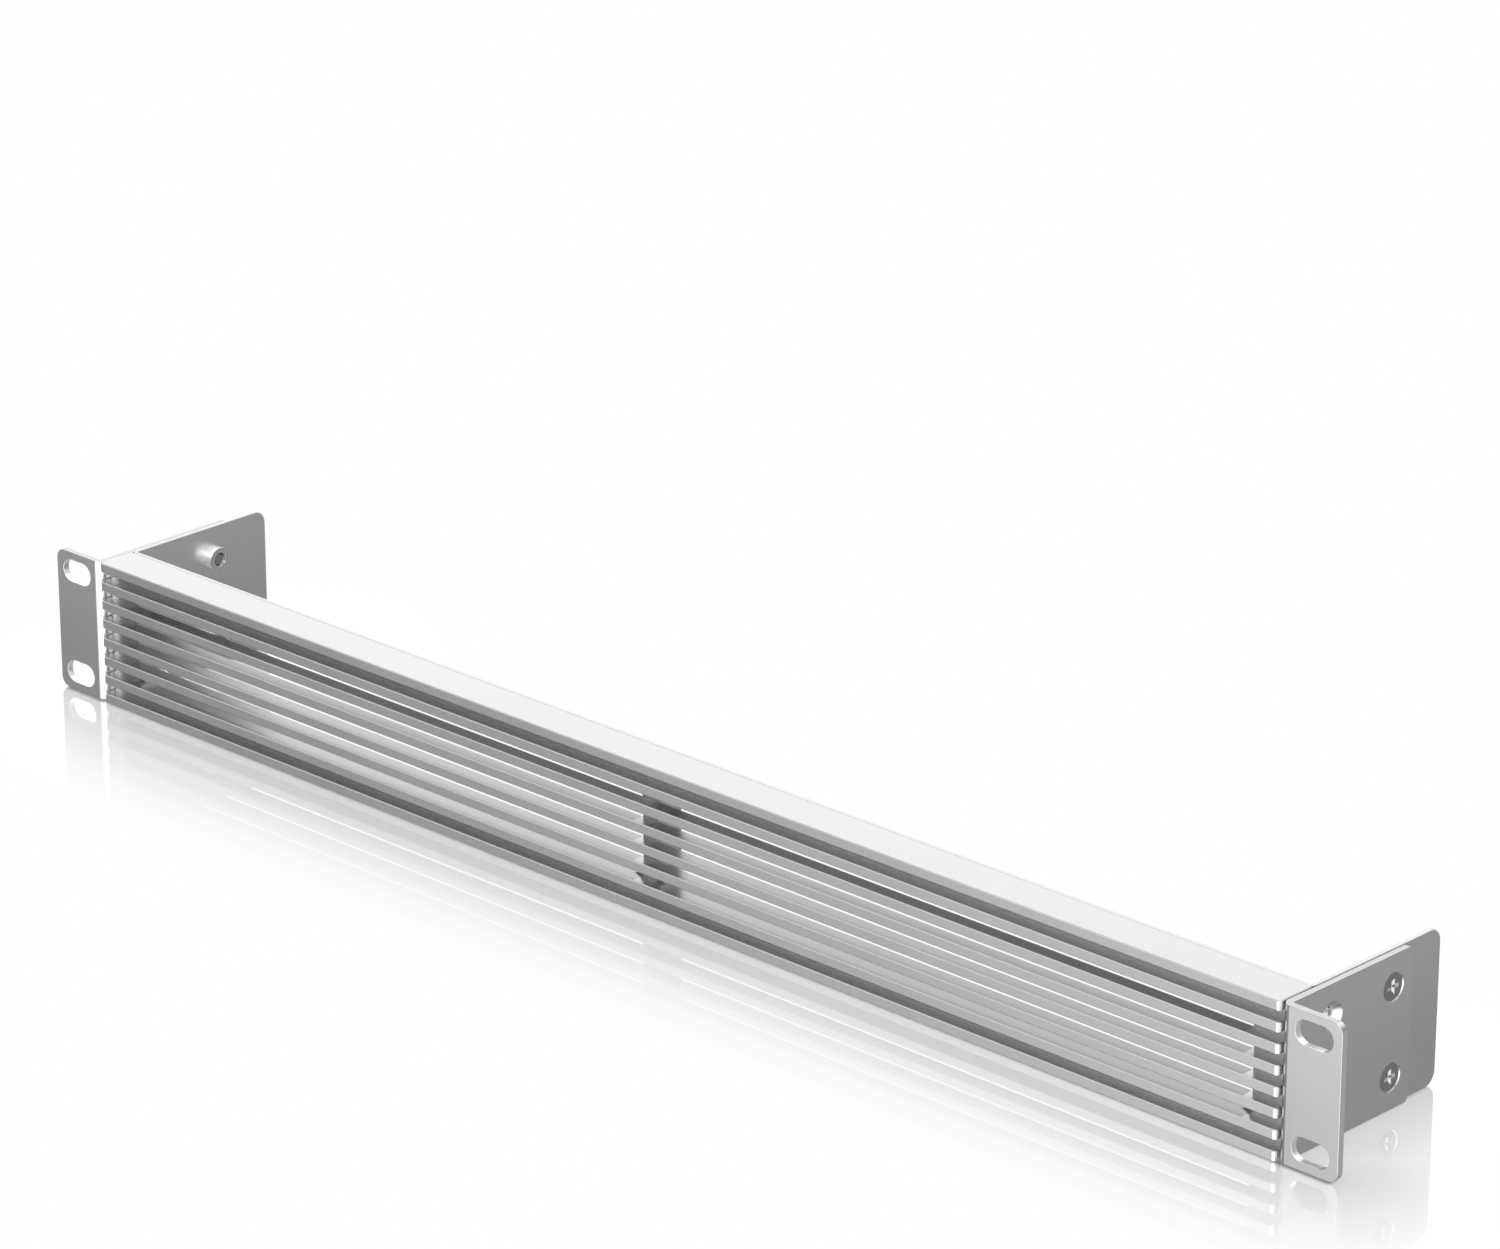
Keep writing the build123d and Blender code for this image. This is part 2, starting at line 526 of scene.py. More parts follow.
@dataclass(frozen=True)
class SatinLacquer(Finish):
    """Silver lacquer on bent sheet: a fine flake under a faint orange peel.

    It is painted lighter towards the top, which stands in for the floor's reflection,
    lighter still on the sheared ends as a painted highlight, and darker on the top rims
    as painted shade. The walls of the punched rack slots and the seat against the
    grille's ends are painted nearly white, as painted light in those gaps.
    """

    flake: float = 0.08 * MM
    flake_tint: float = 0.018
    peel: float = 0.9 * MM
    peel_share: float = 0.8
    peel_height: float = 0.006 * MM
    peel_strength: float = 0.12
    gloss_spread: float = 0.03
    cloud: float = 25.0 * MM
    cloud_tint: float = 0.02
    painted_reflection: Span = (-12.0 * MM, 24.0 * MM)
    painted_reflection_gain: Span = (1.0, 1.13)
    end: float = 241.1 * MM
    end_highlight_gain: float = 1.13
    rim: float = 21.3 * MM
    rim_edge: float = 0.2 * MM
    rim_shade_gain: float = 0.80
    slot_low: Point = (226.3 * MM, -1.9 * MM, 12.1 * MM)
    slot_high: Point = (238.8 * MM, -0.1 * MM, 19.6 * MM)
    mask_edge: float = 0.1 * MM
    seat: Span = (222.3 * MM, 222.05 * MM)
    seat_depth: float = 10.0 * MM
    gap_light_colour: Colour = (0.96, 0.96, 0.96)

    def surface(self, desk: NodeDesk) -> dict[str, Signal]:
        """Return the flake's colour and gloss, and the peel of the lacquer."""
        place = desk.place()
        flake = desk.node(
            "ShaderNodeTexVoronoi",
            {"feature": "F1"},
            {"Vector": place, "Scale": 1.0 / self.flake},
            output="Distance",
        )
        peel = desk.noise(place, self.peel, detail=1.5)
        cloud = desk.noise(place, self.cloud)
        tint = 1.0 + self.cloud_tint * (cloud - 0.5) + self.flake_tint * (flake - 0.5)
        height = self.peel_share * peel + (1.0 - self.peel_share) * flake
        return {
            "Base Color": desk.scaled(self.coat(desk, place), tint),
            "Roughness": self.roughness
            + self.gloss_spread * (peel - 0.5)
            + self.gloss_spread * (flake - 0.5),
            "Normal": desk.bump(height, self.peel_height, self.peel_strength),
        }

    def coat(self, desk: NodeDesk, place: Signal) -> Signal:
        """Return the colour of the coat, with its painted light and shade.

        Args:
            desk: The material's desk.
            place: The object coordinates.

        Returns:
            The colour before the flake.
        """
        low, high = self.painted_reflection_gain
        across, along = abs(desk.axis(place, ACROSS)), desk.axis(place, ALONG)
        height = desk.axis(place, UP)
        # Painted reflection: the coat gets lighter towards the top, standing in for the floor
        # mirrored in the sides.
        painted_reflection = height.ease(*self.painted_reflection)
        coat = desk.blend(painted_reflection, shade(self.colour, low), shade(self.colour, high))
        # Painted highlight: the sheared outer ends of the ears are lighter.
        end = across.ease(self.end, self.end + self.mask_edge)
        coat = desk.blend(end, coat, shade(self.colour, self.end_highlight_gain * high))
        # Painted shade: the top rims are darker.
        rim = height.ease(self.rim, self.rim + self.rim_edge)
        coat = desk.blend(rim, coat, shade(self.colour, self.rim_shade_gain * high))
        # Painted light: the seat behind the grille's ends and the rack slots' walls are nearly
        # white.
        seat = across.ease(*self.seat) * along.ease(self.seat_depth, 0.0)
        in_x, in_y, in_z = (
            way.within(first, last, self.mask_edge)
            for way, first, last in zip((across, along, abs(height)), self.slot_low, self.slot_high)
        )
        return desk.blend(seat.most(in_x * in_y * in_z), coat, self.gap_light_colour)


@dataclass(frozen=True)
class PlatedSteel(Finish):
    """Turned steel with a thin plating: rings from the tool under a mottled sheen.

    Beyond a given radius the side is painted white as a painted highlight, and made rougher so that
    it spreads.
    """

    ring: float = 0.16 * MM
    ring_tint: float = 0.08
    ring_share: float = 0.3
    ring_height: float = 0.004 * MM
    ring_strength: float = 0.15
    mottle: float = 1.1 * MM
    mottle_contrast: float = 0.8
    mottle_gloss: float = 0.05
    grain: float = 0.12 * MM
    grain_gloss: float = 0.03
    grain_share: float = 0.2
    highlight_radius: float = 1.0
    highlight_roughness: float = 0.16
    highlight_edge: Span = (-0.08 * MM, -0.03 * MM)
    tint: Span = (0.95, 1.05)

    def surface(self, desk: NodeDesk) -> dict[str, Signal]:
        """Return the plating's colour and gloss, and the tool's rings."""
        place = desk.stored(LATHE_COORDINATES)
        radius = desk.length(desk.moved(place, (1.0, 1.0, 0.0)))
        rings = (radius * (2 * math.pi / self.ring)).sine()
        mottle = desk.noise(place, self.mottle, detail=3.0)
        grain = desk.noise(place, self.grain)
        # Painted highlight: beyond the radius the side's colour goes to white.
        side = radius.ease(*(self.highlight_radius + edge for edge in self.highlight_edge))
        amount = 0.5 + self.mottle_contrast * (mottle - 0.5) + self.ring_tint * rings
        low, high = (shade(self.colour, tint) for tint in self.tint)
        height = 0.5 + self.ring_share * rings + self.grain_share * grain
        return {
            "Base Color": desk.blend(side, desk.blend(amount, low, high), WHITE),
            "Roughness": self.roughness
            + self.mottle_gloss * (mottle - 0.5)
            + self.grain_gloss * (grain - 0.5)
            + self.highlight_roughness * side,
            "Normal": desk.bump(height, self.ring_height, self.ring_strength),
        }


# ---------------------------------------------------------------- bench work


class Bench:
    """Modelling steps that several pieces share.

    Points closer than WELD are joined, or than SKIN_WELD on a solid's skin. Faces that
    turn less than LEVEL are one face, and edges that turn more than SHARP are eased. Up
    to a turn of EASED a skin looks smooth, and up to TURNED a turned piece does. SPARE is
    how far a cutter stands out of the face that it cuts.
    """

    WELD = 0.001 * MM
    SKIN_WELD = 0.002 * MM
    LEVEL = math.radians(0.5)
    SHARP = math.radians(40.0)
    EASED = math.radians(46.0)
    TURNED = math.radians(35.0)
    SPARE = 0.3 * MM

    @staticmethod
    def clear() -> None:
        """Leave edit mode and deselect everything."""
        if bpy.context.mode != "OBJECT":
            bpy.ops.object.mode_set(mode="OBJECT")
        bpy.ops.object.select_all(action="DESELECT")

    @staticmethod
    def alone(piece: bpy.types.Object) -> None:
        """Select one piece and no other.

        Args:
            piece: The piece.
        """
        Bench.clear()
        piece.select_set(True)
        bpy.context.view_layer.objects.active = piece

    @staticmethod
    def pick(piece: bpy.types.Object, chosen: Sequence[bool]) -> None:
        """Go to edit mode with some of a piece's vertices selected.

        Args:
            piece: The piece.
            chosen: Whether each vertex is selected, in their order.
        """
        Bench.alone(piece)
        bpy.ops.object.mode_set(mode="EDIT")
        bpy.ops.mesh.select_mode(type="VERT")
        bpy.ops.mesh.select_all(action="DESELECT")
        bpy.ops.object.mode_set(mode="OBJECT")
        piece.data.vertices.foreach_set("select", chosen)
        bpy.ops.object.mode_set(mode="EDIT")

    @staticmethod
    def turned(name: str, profile: Profile, steps: int, capped: bool = True) -> bpy.types.Object:
        """Turn a profile about Z, ring by ring.

        Args:
            name: The new piece's name.
            profile: Radius and height of each ring, in metres, from the start to the end.
            steps: How many sides a ring has.
            capped: Close the two ends, or join the last ring to the first.

        Returns:
            The turned piece, at the origin.
        """
        Bench.clear()
        radius, height = profile[0]
        bpy.ops.mesh.primitive_circle_add(
            vertices=steps,
            radius=radius,
            fill_type="NGON" if capped else "NOTHING",
            location=(0.0, 0.0, 0.0),
        )
        piece = bpy.context.active_object
        piece.name = piece.data.name = name
        bpy.ops.object.mode_set(mode="EDIT")
        bpy.ops.mesh.select_all(action="SELECT")
        bpy.ops.transform.translate(value=(0.0, 0.0, height))
        for next_radius, next_height in profile[1:]:
            bpy.ops.mesh.extrude_region_move(
                TRANSFORM_OT_translate={"value": (0.0, 0.0, next_height - height)}
            )
            growth = next_radius / radius
            bpy.ops.transform.resize(
                value=(growth, growth, 1.0), center_override=(0.0, 0.0, next_height)
            )
            radius, height = next_radius, next_height
        bpy.ops.mesh.select_all(action="SELECT")
        bpy.ops.mesh.remove_doubles(threshold=Bench.WELD)
        bpy.ops.mesh.normals_make_consistent(inside=False)
        bpy.ops.object.mode_set(mode="OBJECT")
        return piece

    @staticmethod
    def blade_cutter(mouth: Span, foot: Span, depth: float, top: float) -> bpy.types.Object:
        """Model one tapered blade of the cross that a driver leaves.

        Args:
            mouth: The blade's size on X and Y where it enters.
            foot: Its size on X and Y at the bottom.
            depth: How deep it goes.
            top: The height of the face that it goes into.

        Returns:
            The cutter, a little taller than the recess.
        """
        Bench.clear()
        bpy.ops.mesh.primitive_plane_add(size=1.0, location=(0.0, 0.0, 0.0))
        cutter = bpy.context.active_object
        bpy.ops.object.mode_set(mode="EDIT")
        bpy.ops.mesh.select_all(action="SELECT")
        bpy.ops.transform.resize(value=(*mouth, 1.0), center_override=(0.0, 0.0, 0.0))
        bpy.ops.transform.translate(value=(0.0, 0.0, top + Bench.SPARE))
        for fall in (Bench.SPARE, depth):
            bpy.ops.mesh.extrude_region_move(TRANSFORM_OT_translate={"value": (0.0, 0.0, -fall)})
        bpy.ops.transform.resize(
            value=(foot[0] / mouth[0], foot[1] / mouth[1], 1.0),
            center_override=(0.0, 0.0, top - depth),
        )
        bpy.ops.mesh.select_all(action="SELECT")
        bpy.ops.mesh.normals_make_consistent(inside=False)
        bpy.ops.object.mode_set(mode="OBJECT")
        return cutter

    @staticmethod
    def cross_recess(piece: bpy.types.Object, recess: "CrossRecess", top: float) -> None:
        """Cut a cross recess into a screw's head.

        Args:
            piece: The screw, along +Z.
            recess: The sizes of the recess.
            top: The height of the head's face.
        """
        mouth, foot = (recess.span, recess.blade), (recess.foot_span, recess.foot_blade)
        Bench.carve(piece, Bench.blade_cutter(mouth, foot, recess.depth, top))
        Bench.carve(piece, Bench.blade_cutter(mouth[::-1], foot[::-1], recess.depth, top))
        Bench.clear()
        tall = recess.depth * 2
        bpy.ops.mesh.primitive_cone_add(
            vertices=recess.pocket_sides,
            radius1=0.0,
            radius2=recess.pocket,
            depth=tall,
            location=(0.0, 0.0, top - tall / 2 + Bench.SPARE),
        )
        Bench.carve(piece, bpy.context.active_object)

    @staticmethod
    def carve(piece: bpy.types.Object, cutter: bpy.types.Object) -> None:
        """Cut one piece with another, which is used up.

        Args:
            piece: The piece that stays.
            cutter: The closed shape that is taken away.
        """
        Bench.alone(piece)
        cut = piece.modifiers.new("recess", "BOOLEAN")
        cut.operation = "DIFFERENCE"
        cut.solver = "EXACT"
        cut.object = cutter
        bpy.ops.object.modifier_apply(modifier=cut.name)
        bpy.data.objects.remove(cutter)

    @staticmethod
    def outer_edges(piece: bpy.types.Object, spared: Sequence[Box]) -> list[bool]:
        """Find the edges that turn sharply, away from some boxes.

        Args:
            piece: The piece.
            spared: Boxes whose edges are left out.

        Returns:
            Whether each edge is one of them, in their order.
        """
        mesh = piece.data
        beside: dict[tuple[int, int], list[Vector]] = {}
        for face in mesh.polygons:
            for key in face.edge_keys:
                beside.setdefault(key, []).append(face.normal)
        found: list[bool] = []
        for edge in mesh.edges:
            first, second = (mesh.vertices[index].co for index in edge.vertices)
            middle = (first + second) / 2
            normals = beside.get(tuple(sorted(edge.vertices)), [])
            sharp = len(normals) == 2 and normals[0].angle(normals[1]) > Bench.SHARP
            inside = any(
                all(low[i] <= middle[i] <= high[i] for i in range(3)) for low, high in spared
            )
            found.append(sharp and not inside)
        return found

    @staticmethod
    def ease(piece: bpy.types.Object, edge: float, spared: Sequence[Box]) -> None:
        """Join loose facets into one skin and round its sharp edges.

        Args:
            piece: The piece.
            edge: The width of the rounding.
            spared: Boxes whose edges stay sharp.
        """
        Bench.alone(piece)
        bpy.ops.mesh.customdata_custom_splitnormals_clear()
        bpy.ops.object.mode_set(mode="EDIT")
        bpy.ops.mesh.select_all(action="SELECT")
        bpy.ops.mesh.remove_doubles(threshold=Bench.SKIN_WELD)
        bpy.ops.mesh.dissolve_limited(angle_limit=Bench.LEVEL)
        bpy.ops.mesh.select_mode(type="EDGE")
        bpy.ops.mesh.select_all(action="DESELECT")
        bpy.ops.object.mode_set(mode="OBJECT")
        piece.data.edges.foreach_set("select", Bench.outer_edges(piece, spared))
        bpy.ops.object.mode_set(mode="EDIT")
        bpy.ops.mesh.bevel(offset=edge, segments=2, clamp_overlap=False)
        bpy.ops.object.mode_set(mode="OBJECT")
        bpy.ops.object.shade_smooth_by_angle(angle=Bench.EASED)
        flat = piece.modifiers.new("flat", "WEIGHTED_NORMAL")
        flat.mode = "FACE_AREA"
        flat.weight = 100
        flat.keep_sharp = True
        bpy.ops.object.modifier_apply(modifier=flat.name)

    @staticmethod
    def finish(piece: bpy.types.Object) -> None:
        """Smooth what is round and keep the lathe's coordinates.

        Args:
            piece: The piece, still at the origin.
        """
        Bench.alone(piece)
        bpy.ops.object.shade_smooth_by_angle(angle=Bench.TURNED)
        mesh = piece.data
        local = mesh.attributes.new(LATHE_COORDINATES, "FLOAT_VECTOR", "POINT")
        local.data.foreach_set("vector", [part for point in mesh.vertices for part in point.co])

    @staticmethod
    def placed(
        pattern: bpy.types.Object,
        name: str,
        seat: Vector,
        axis: Vector,
        material: bpy.types.Material,
    ) -> bpy.types.Object:
        """Copy a pattern piece to its place, with its own mesh.

        Args:
            pattern: The piece, modelled along +Z at the origin.
            name: The copy's name.
            seat: Where its origin goes, in metres.
            axis: Where its +Z points.
            material: Its finish.

        Returns:
            The copy, with its place in its mesh.
        """
        mesh = pattern.data.copy()
        mesh.name = name
        mesh.transform(Matrix.Translation(seat) @ axis.to_track_quat("Z", "Y").to_matrix().to_4x4())
        mesh.materials.clear()
        mesh.materials.append(material)
        piece = bpy.data.objects.new(name, mesh)
        bpy.context.scene.collection.objects.link(piece)
        return piece


def thread(radius: float, core: float, pitch: float, start: float, end: float) -> list[Span]:
    """Return the profile of a thread.

    Args:
        radius: The radius of the crests.
        core: The radius of the roots.
        pitch: The distance from crest to crest.
        start: The height of the first crest.
        end: The height where it stops.

    Returns:
        Radius and height of each ring, crest and root in turn.
    """
    turns = int(abs(end - start) / pitch)
    step = math.copysign(pitch, end - start)
    rings: list[Span] = []
    for turn in range(turns):
        rings.append((radius, start + turn * step))
        rings.append((core, start + (turn + 0.5) * step))
    rings.append((radius, start + turns * step))
    return rings


# ---------------------------------------------------------------- sub-assemblies


def mount(piece: bpy.types.Object, node: str, slot: str) -> str:
    """Let a finer piece ride on the body and stand for its solid.

    Args:
        piece: The finer piece.
        node: The solid that it stands for.
        slot: Not used.

    Returns:
        The piece's name.
    """
    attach(piece, BODY)
    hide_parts(node)
    LOG.info("%s stands for %s", piece.name, node)
    return piece.name


def outer_seat(node: str, side: Side) -> Vector:
    """Find the middle of the face that a solid turns away from the panel.

    Args:
        node: The solid.
        side: The end of the panel that it is on.

    Returns:
        The place, in metres.
    """
    low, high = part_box(node)
    seat = (low + high) / 2
    seat.x = high.x if side is Side.RIGHT else low.x
    return seat


@dataclass(frozen=True)
class CrossRecess:
    """The sizes of a cross recess, in metres."""

    span: float
    blade: float
    depth: float
    foot_span: float
    foot_blade: float
    pocket: float
    pocket_sides: int = 24


@dataclass
class DressedSolids:
    """CAD solids that keep their shape and get a finish."""

    nodes: tuple[str, ...]
    finish: Finish

    def build(self) -> list[str]:
        """Put the finish on every solid.

        Returns:
            The names of the dressed nodes.
        """
        material = self.finish.material()
        for name in self.nodes:
            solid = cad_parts[name]
            solid.data.materials.clear()
            solid.data.materials.append(material)
            LOG.info("%s: %s", name, self.finish.name)
        return list(self.nodes)


@dataclass
class EasedSolids:
    """CAD solids carried over as one clean skin each, with their sharp edges eased."""

    nodes: tuple[str, ...]
    finish: Finish
    slot: str
    edge: float
    spare_holes: bool = True
    margin: float = 0.5 * MM

    def build(self) -> list[str]:
        """Model the eased skins from the solids.

        Returns:
            The names of the new pieces.
        """
        material = self.finish.material()
        made: list[str] = []
        for node in self.nodes:
            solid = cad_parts[node]
            mesh = solid.data.copy()
            mesh.transform(solid.matrix_world)
            mesh.materials.clear()
            mesh.materials.append(material)
            piece = bpy.data.objects.new(f"{node}_eased", mesh)
            mesh.name = piece.name
            bpy.context.scene.collection.objects.link(piece)
            self.shape(piece)
            Bench.ease(piece, self.edge, self.fasteners() if self.spare_holes else [])
            made.append(mount(piece, node, self.slot))
        return made

    def fasteners(self) -> list[Box]:
        """Return boxes round the screws and nuts, whose holes keep sharp edges."""
        boxes = [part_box(name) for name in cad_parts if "screw" in name or "nut" in name]
        grow = Vector((self.margin,) * 3)
        return [(low - grow, high + grow) for low, high in boxes]

    def shape(self, piece: bpy.types.Object) -> None:
        """Change the skin before its edges are eased.

        Args:
            piece: The piece.
        """


@dataclass
class Brackets(EasedSolids):
    """Angle brackets, with the mouths of the rack slots drawn in to the slots' own width."""

    slot_across: float = 465.1 * MM
    slot_apart: float = 31.75 * MM
    slot_length: float = 12.0 * MM
    slot_width: float = 6.8 * MM
    mouth_break: float = 0.3 * MM
    mouth_left: float = 0.05 * MM
    radius_slack: float = 0.05 * MM
    slack: float = 0.01 * MM

    def shape(self, piece: bpy.types.Object) -> None:
        """Draw in the round ends of each slot's mouth on the ear's front."""
        front = min(vertex.co.y for vertex in piece.data.vertices)
        side = math.copysign(1.0, piece.data.vertices[0].co.x)
        radius = self.slot_width / 2
        reach = (self.slot_length - self.slot_width) / 2
        growth = (radius + self.mouth_left) / (radius + self.mouth_break)
        for level in Level:
            for end in Side:
                across = side * self.slot_across / 2 + end.value * reach
                middle = Vector((across, front, level.value * self.slot_apart / 2))
                rim = [
                    abs((vertex.co - middle).length - radius - self.mouth_break)
                    < self.radius_slack
                    and abs(vertex.co.y - front) < self.slack
                    and (vertex.co.x - middle.x) * end.value > -self.slack
                    for vertex in piece.data.vertices
                ]
                Bench.pick(piece, rim)
                bpy.ops.transform.resize(
                    value=(growth, 1.0, growth), center_override=tuple(middle)
                )
                bpy.ops.object.mode_set(mode="OBJECT")


@dataclass
class Fasteners:
    """Turned fasteners of one kind: a pattern, copied to the place of every solid."""

    finish: Finish
    slot: str

    def pattern(self) -> bpy.types.Object:
        """Model one fastener along +Z at the origin."""
        raise NotImplementedError

    def places(self) -> Iterator[Place]:
        """Give each solid's name, where the pattern's origin goes and where its +Z points."""
        raise NotImplementedError

    def build(self) -> list[str]:
        """Put a fastener in place of each solid.

        Returns:
            The names of the new pieces.
        """
        pattern = self.pattern()
        material = self.finish.material()
        made: list[str] = []
        for node, seat, axis in self.places():
            piece = Bench.placed(pattern, f"{node}_threaded", seat, axis, material)
            made.append(mount(piece, node, self.slot))
        bpy.data.objects.remove(pattern)
        return made


@dataclass
class BracketScrews(Fasteners):
    """Countersunk cross-recess screws that hold each bracket to its wing."""

    finish: Finish = field(
        default_factory=lambda: PlatedSteel("screw_plating", (0.32, 0.323, 0.33), 0.26)
    )
    slot: str = "bracket_screw_steel"
    head: float = 7.6 * MM
    shank: float = 3.9 * MM
    length: float = 6.0 * MM
    land: float = 0.12 * MM
    rounding: float = 0.10 * MM
    dome: float = 0.02 * MM
    taper: float = 0.03 * MM
    pitch: float = 0.7 * MM
    thread_depth: float = 0.42 * MM
    thread_start: float = 0.25 * MM
    thread_tail: float = 0.5 * MM
    recess: CrossRecess = CrossRecess(4.3 * MM, 1.25 * MM, 0.62 * MM, 2.6 * MM, 0.2 * MM, 0.8 * MM)
    steps: int = 56

    def pattern(self) -> bpy.types.Object:
        """Model one screw along +Z with its face at the origin."""
        rim, crest = self.head / 2, self.shank / 2
        core = crest - self.thread_depth
        neck = -(rim - crest) - self.land / 2
        start, end = neck - self.thread_start, -self.length + self.thread_tail
        profile = [
            (rim - 3 * self.rounding, 0.0),
            (rim - self.rounding, -self.dome),
            (rim - self.taper, -self.rounding * 0.6),
            (rim - 2 * self.taper, -self.rounding - self.land / 2),
            (crest, neck),
            *thread(crest, core, self.pitch, start, end),
            (core, -self.length),
        ]
        piece = Bench.turned("bracket_screw_pattern", profile, self.steps)
        Bench.cross_recess(piece, self.recess, 0.0)
        Bench.finish(piece)
        return piece

    def places(self) -> Iterator[Place]:
        """Give each screw's place on the bracket's outside."""
        for side in Side:
            for level in Level:
                node = f"{side.name.lower()}_bracket_screw_{level.name.lower()}"
                yield node, outer_seat(node, side), Vector((side.value, 0.0, 0.0))


@dataclass
class CaptiveNuts(Fasteners):
    """Round clinch nuts with a threaded bore, pressed into the wings."""

    finish: Finish = field(
        default_factory=lambda: PlatedSteel(
            "nut_plating", (0.58, 0.584, 0.592), 0.26, highlight_radius=3.7 * MM
        )
    )
    slot: str = "nut_steel"
    diameter: float = 7.4 * MM
    stand: float = 3.5 * MM
    shank: float = 5.4 * MM
    sheet: float = 1.2 * MM
    bore: float = 4.0 * MM
    pitch: float = 0.7 * MM
    thread_depth: float = 0.30 * MM
    thread_ends: float = 0.45 * MM
    edge: float = 0.06 * MM
    entry: float = 0.12 * MM
    steps: int = 64

    def pattern(self) -> bpy.types.Object:
        """Model one nut along +Z with its flange on the origin."""
        outer, bore, shank = self.diameter / 2, self.bore / 2, self.shank / 2
        root = bore + self.thread_depth
        start, end = self.stand - self.thread_ends, -self.sheet + self.thread_ends
        corner = self.edge * 0.3
        profile = [
            (outer - self.edge, self.stand),
            (outer - corner, self.stand - corner),
            (outer, self.stand - self.edge),
            (outer, 0.0),
            (shank, 0.0),
            (shank, -self.sheet),
            (root, -self.sheet),
            *reversed(thread(bore, root, self.pitch, start, end)),
            (bore, self.stand - self.entry),
            (bore + self.entry, self.stand),
            (outer - self.edge, self.stand),
        ]
        piece = Bench.turned("captive_nut_pattern", profile, self.steps, capped=False)
        Bench.finish(piece)
        return piece

    def places(self) -> Iterator[Place]:
        """Give each nut's place on the wing's inside."""
        for side in Side:
            inward = Vector((-side.value, 0.0, 0.0))
            for row in Row:
                for level in Level:
                    node = f"{side.name.lower()}_captive_nut_{row.value}_{level.name.lower()}"
                    yield node, outer_seat(node, side) + inward * self.sheet, inward


@dataclass
class GrilleScrews(Fasteners):
    """Pan-head cross-recess screws that hold the grille to the web from behind."""

    finish: Finish = field(
        default_factory=lambda: PlatedSteel("pan_screw_plating", (0.46, 0.462, 0.465), 0.27)
    )
    slot: str = "grille_screw_steel"
    columns: int = 3
    head: float = 5.5 * MM
    head_height: float = 2.0 * MM
    crown: float = 0.7 * MM
    crown_rings: int = 5
    foot_edge: float = 0.08 * MM
    shank: float = 2.9 * MM
    length: float = 7.0 * MM
    pitch: float = 0.5 * MM
    thread_depth: float = 0.31 * MM
    thread_start: float = 0.6 * MM
    thread_tail: float = 0.4 * MM
    recess: CrossRecess = CrossRecess(3.0 * MM, 0.95 * MM, 0.48 * MM, 1.9 * MM, 0.2 * MM, 0.6 * MM)
    steps: int = 48

    def pattern(self) -> bpy.types.Object:
        """Model one screw along +Z with the underside of its head at the origin."""
        rim, crest = self.head / 2, self.shank / 2
        core = crest - self.thread_depth
        start, end = -self.thread_start, -self.length + self.thread_tail
        rings: list[Span] = []
        for ring in range(self.crown_rings + 1):
            turn = math.radians(90.0) * (1 - ring / self.crown_rings)
            radius = rim - self.crown + self.crown * math.cos(turn)
            rings.append((radius, self.head_height - self.crown + self.crown * math.sin(turn)))
        profile = [
            *rings,
            (rim, self.foot_edge),
            (rim - self.foot_edge, 0.0),
            (crest, 0.0),
            *thread(crest, core, self.pitch, start, end),
            (core, -self.length),
        ]
        piece = Bench.turned("pan_screw_pattern", profile, self.steps)
        Bench.cross_recess(piece, self.recess, self.head_height)
        Bench.finish(piece)
        return piece

    def places(self) -> Iterator[Place]:
        """Give each screw's place on the web's back."""
        for column in range(1, self.columns + 1):
            for level in Level:
                node = f"grille_screw_{column}_{level.name.lower()}"
                low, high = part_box(node)
                middle = (low + high) / 2
                yield node, Vector((middle.x, high.y - self.head_height, middle.z)), Vector(ALONG)


# ---------------------------------------------------------------- studio


